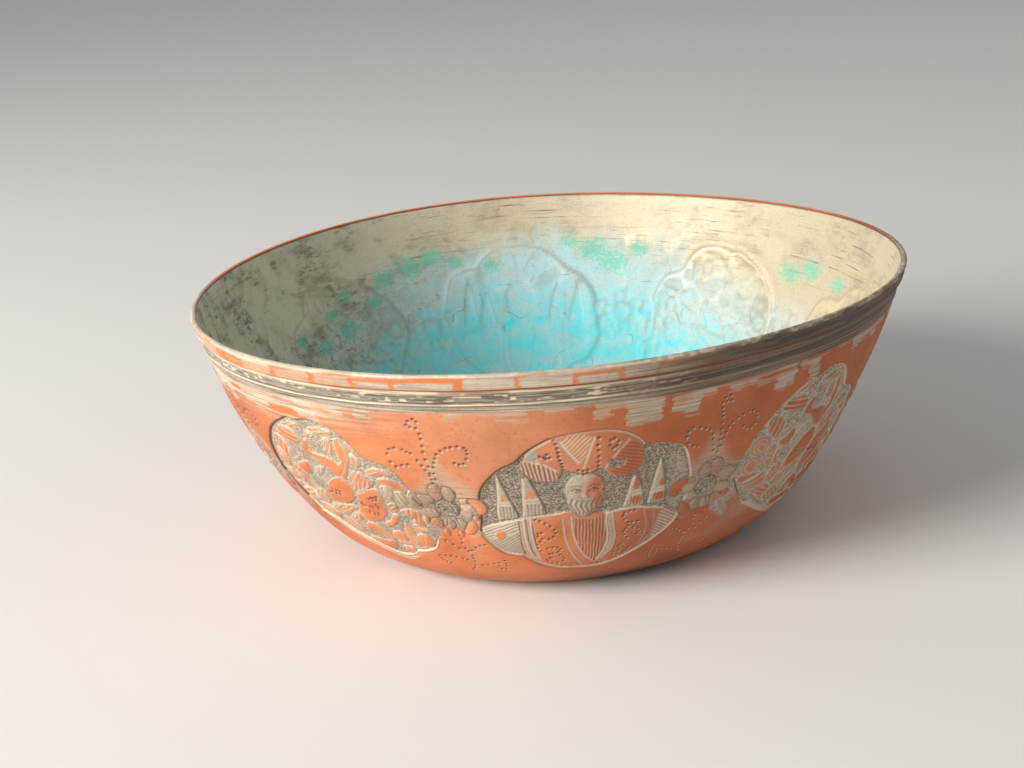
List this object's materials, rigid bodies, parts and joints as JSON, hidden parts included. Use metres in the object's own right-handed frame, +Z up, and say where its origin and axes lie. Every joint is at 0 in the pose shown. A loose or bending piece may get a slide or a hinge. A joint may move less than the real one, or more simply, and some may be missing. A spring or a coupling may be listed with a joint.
{
  "type": "bowl",
  "caption": "Open round metal bowl with a flat base, a tinned inside, a folded rim and an engraved outside.",
  "frame": {"origin": "centre of the flat underside, on the surface that the bowl stands on", "axes": "+Z up out of the mouth; -Y towards the figure medallion that faces the viewer; +X to the viewer's right"},
  "size_m": [0.2308, 0.231, 0.0837],
  "materials": {
    "engraved_copper": "polished copper, grey tin left in the engraving",
    "tin_coat": "old scratched tin with green verdigris low down",
    "rim_copper": "worn copper with patches of tin"
  },
  "bodies": {
    "root": {"copper_shell": "engraved_copper", "tin_lining": "tin_coat", "rim_band": "rim_copper"}
  },
  "joints": []
}
